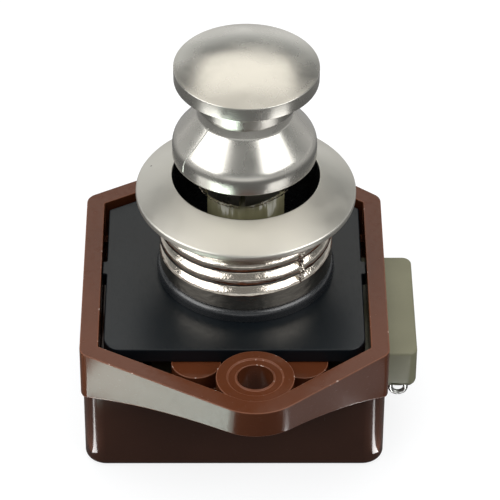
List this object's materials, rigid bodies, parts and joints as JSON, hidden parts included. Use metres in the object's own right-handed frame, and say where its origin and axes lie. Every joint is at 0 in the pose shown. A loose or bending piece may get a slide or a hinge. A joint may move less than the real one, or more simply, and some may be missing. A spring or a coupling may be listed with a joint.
{
  "type": "push button cabinet lock",
  "caption": "Push-to-lock cabinet latch with a hexagonal housing, a cover plate, a threaded barrel, a conical rosette, a waisted push knob and a sliding bolt at one side.",
  "frame": {"origin": "where the knob's axis crosses the mounting face, the flat rim of the housing", "axes": "+Z along the knob's axis out through the door, +X the way the bolt is thrown, Y along the line of the two ear holes"},
  "size_m": [0.0463, 0.0585, 0.0563],
  "materials": {
    "brown_plastic": "glossy reddish brown moulding",
    "black_plate": "semi-gloss",
    "black_sleeve": "gloss",
    "spring_steel": "bright drawn wire and strip",
    "loop_wire": "zinc plated wire",
    "turned_steel": "turned",
    "bright_nickel": "bright nickel plate",
    "satin_nickel": "satin nickel plate",
    "insert_brass": "turned",
    "olive_nylon": "olive grey nylon moulding"
  },
  "bodies": {
    "case": {"case_frame": "brown_plastic", "case_box": "brown_plastic", "cover_plate": "black_plate", "guide_sleeve": "black_sleeve", "sleeve_clip": "spring_steel", "threaded_barrel": "bright_nickel", "rosette": "satin_nickel", "return_spring": "spring_steel", "spring_rod": "turned_steel", "pawl_pin": "turned_steel", "pawl_spring": "spring_steel"},
    "button": {"knob": "satin_nickel", "knob_insert": "insert_brass", "knob_screw": "turned_steel", "screw_washer": "turned_steel", "knob_stem": "bright_nickel", "plunger": "olive_nylon"},
    "bolt": {"latch_bolt": "olive_nylon", "bolt_loop": "loop_wire"},
    "pawl_lever": {"pawl": "spring_steel"}
  },
  "joints": [
    {"name": "knob_slide", "type": "slide", "parent": "case", "child": "button", "axis": [0, 0, -1], "range_m": [0, 0.0158], "stiffness_N_per_m": 300, "springref_m": -0.012, "deforming": ["return_spring"]},
    {"name": "bolt_slide", "type": "slide", "parent": "case", "child": "bolt", "axis": [1, 0, 0], "range_m": [0, 0.005]},
    {"name": "pawl_swing", "type": "hinge", "parent": "case", "child": "pawl_lever", "pos_m": [-0.0004, 0.0092, -0.016], "axis": [0, 1, 0], "range_deg": [0, 6.9]}
  ],
  "couplings": [
    {"joint": "bolt_slide", "follows": "knob_slide", "ratio": 0.31645},
    {"joint": "pawl_swing", "follows": "knob_slide", "rad_per_m": 7.604}
  ]
}
